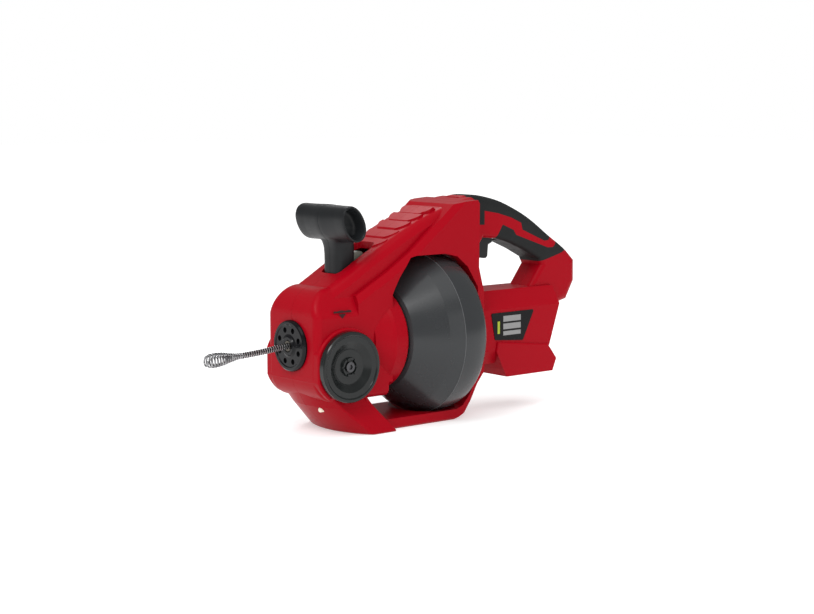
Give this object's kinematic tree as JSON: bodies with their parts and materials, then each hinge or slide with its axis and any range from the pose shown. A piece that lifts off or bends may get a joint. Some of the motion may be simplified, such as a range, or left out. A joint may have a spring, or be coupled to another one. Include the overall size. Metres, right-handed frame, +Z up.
{
  "type": "cordless drain snake machine",
  "caption": "Hand-held battery drain snake: red clamshell housing with rear loop handle, open-framed rotating cable drum, T-shaped feed lever, side knob and cable with bulb head.",
  "frame": {"origin": "on the surface it stands on, below the middle of its box, with the free cable left out", "axes": "+X from the nose back to the rear handle, +Z up, +Y towards the right-hand side; the drum axis is parallel to X"},
  "size_m": [0.4749, 0.1658, 0.2265],
  "materials": {
    "red_plastic": "satin moulded red",
    "grip_rubber": "matt soft overmould",
    "steel_screws": "blackened steel",
    "nose_black": "gloss black",
    "steel_dark": "dark pressed steel",
    "brass": "turned brass",
    "bush_plastic": "natural acetal",
    "bearing_steel": "ground steel",
    "gear_black": "glass-filled nylon",
    "gear_steel": "cut steel",
    "motor_steel": "zinc plated",
    "magnet": "sintered ferrite",
    "armature": "laminations and windings",
    "fan_plastic": "moulded black",
    "drum_plastic": "satin dark grey",
    "cable_steel": "wound spring steel",
    "auger_steel": "wound spring steel",
    "roller_steel": "hardened and ground",
    "spring_steel": "bright spring wire",
    "handle_plastic": "fine-textured dark grey",
    "cover_plastic": "satin dark olive grey",
    "knob_black": "satin black",
    "trigger_black": "moulded black",
    "switch_plastic": "moulded black",
    "copper": "bare copper alloy",
    "label_film": "printed film",
    "lamp_lens": "milky lens"
  },
  "bodies": {
    "body": {"left_housing": "red_plastic", "right_housing": "red_plastic", "left_grip_overmold": "grip_rubber", "right_grip_overmold": "grip_rubber", "housing_screws": "steel_screws", "nose_plate": "nose_black", "nose_nut": "steel_dark", "nose_bush": "brass", "drum_front_bush": "bush_plastic", "rear_bearing": "bearing_steel", "gearbox_case": "gear_black", "gearbox_cover": "gear_black", "gearbox_screws": "steel_screws", "ring_gear": "gear_steel", "motor_can": "motor_steel", "motor_magnets": "magnet", "motor_end_cap": "gear_black", "feed_chassis": "steel_dark", "lower_roller_axles": "gear_steel", "guide_posts": "gear_steel", "carriage_springs": "spring_steel", "lever_pivot_pin": "gear_steel", "trigger_spring": "spring_steel", "switch_module": "switch_plastic", "terminal_block": "switch_plastic", "terminal_blades": "copper", "label_left": "label_film", "label_right": "label_film", "lamp_lens": "lamp_lens"},
    "drum": {"drum_front_half": "drum_plastic", "drum_rear_half": "drum_plastic", "drum_shaft": "gear_steel", "planet_pins": "gear_steel", "drum_screws": "steel_screws", "cable_coil": "cable_steel", "cable_lead": "cable_steel"},
    "snake": {"cable_run": "cable_steel", "snake_cable": "cable_steel", "auger_tip": "auger_steel"},
    "motor_rotor": {"motor_shaft": "gear_steel", "motor_armature": "armature", "motor_fan": "fan_plastic", "sun_pinion": "gear_steel"},
    "planet_a": {"planet_gear_a": "gear_steel"},
    "planet_b": {"planet_gear_b": "gear_steel"},
    "planet_c": {"planet_gear_c": "gear_steel"},
    "feed_lever": {"front_handle": "handle_plastic", "feed_lever_arm": "steel_dark", "slot_cover": "cover_plastic"},
    "carriage": {"roller_carriage": "steel_dark", "upper_roller_axle": "gear_steel"},
    "roller_top": {"upper_roller": "roller_steel"},
    "roller_left": {"lower_roller_left": "roller_steel"},
    "roller_right": {"lower_roller_right": "roller_steel"},
    "side_knob": {"clamp_knob": "knob_black", "knob_screw": "steel_dark", "knob_spindle": "gear_steel"},
    "shoe": {"clamp_shoe": "brass"},
    "trigger": {"trigger": "trigger_black"}
  },
  "joints": [
    {"name": "drum_spin", "type": "hinge", "parent": "body", "child": "drum", "pos_m": [-0.1833, 0, 0.088], "axis": [1, 0, 0], "continuous": true},
    {"name": "cable_feed", "type": "slide", "parent": "drum", "child": "snake", "axis": [-1, 0, 0], "range_m": [0, 0.08]},
    {"name": "motor_spin", "type": "hinge", "parent": "body", "child": "motor_rotor", "pos_m": [0.0767, 0, 0.088], "axis": [1, 0, 0], "continuous": true},
    {"name": "planet_a_spin", "type": "hinge", "parent": "drum", "child": "planet_a", "pos_m": [0.0497, 0.0135, 0.088], "axis": [1, 0, 0], "continuous": true},
    {"name": "planet_b_spin", "type": "hinge", "parent": "drum", "child": "planet_b", "pos_m": [0.0497, -0.00675, 0.09969], "axis": [1, 0, 0], "continuous": true},
    {"name": "planet_c_spin", "type": "hinge", "parent": "drum", "child": "planet_c", "pos_m": [0.0497, -0.00675, 0.07631], "axis": [1, 0, 0], "continuous": true},
    {"name": "feed_lever_pull", "type": "hinge", "parent": "body", "child": "feed_lever", "pos_m": [-0.1253, 0, 0.12], "axis": [0, 1, 0], "range_deg": [0, 10], "stiffness_Nm_per_rad": 6, "springref_deg": -6.88},
    {"name": "roller_press", "type": "slide", "parent": "body", "child": "carriage", "axis": [0, 0, -1], "range_m": [0, 0.002], "deforming": ["carriage_springs"]},
    {"name": "upper_roller_spin", "type": "hinge", "parent": "carriage", "child": "roller_top", "pos_m": [-0.1253, 0, 0.0998], "axis": [0.9397, -0.342, 0], "continuous": true},
    {"name": "lower_roller_left_spin", "type": "hinge", "parent": "body", "child": "roller_left", "pos_m": [-0.1253, -0.00751, 0.0817], "axis": [0.9397, 0.2198, -0.262], "continuous": true},
    {"name": "lower_roller_right_spin", "type": "hinge", "parent": "body", "child": "roller_right", "pos_m": [-0.1253, 0.00751, 0.0817], "axis": [0.9397, 0.2198, 0.262], "continuous": true},
    {"name": "knob_turn", "type": "hinge", "parent": "body", "child": "side_knob", "pos_m": [-0.1493, -0.02, 0.069], "axis": [0, 1, 0], "range_deg": [0, 170]},
    {"name": "shoe_lift", "type": "slide", "parent": "body", "child": "shoe", "axis": [0, 0, 1], "range_m": [0, 0.0024]},
    {"name": "trigger_pull", "type": "slide", "parent": "body", "child": "trigger", "axis": [1, 0, 0], "range_m": [0, 0.006], "stiffness_N_per_m": 800, "springref_m": -0.003, "deforming": ["trigger_spring"]}
  ],
  "couplings": [
    {"joint": "motor_spin", "follows": "drum_spin", "ratio": 5},
    {"joint": "planet_a_spin", "follows": "drum_spin", "ratio": -2.6667},
    {"joint": "planet_b_spin", "follows": "drum_spin", "ratio": -2.6667},
    {"joint": "planet_c_spin", "follows": "drum_spin", "ratio": -2.6667},
    {"joint": "roller_press", "follows": "feed_lever_pull", "m_per_rad": 0.011458},
    {"joint": "shoe_lift", "follows": "knob_turn", "m_per_rad": 0.00079577}
  ]
}
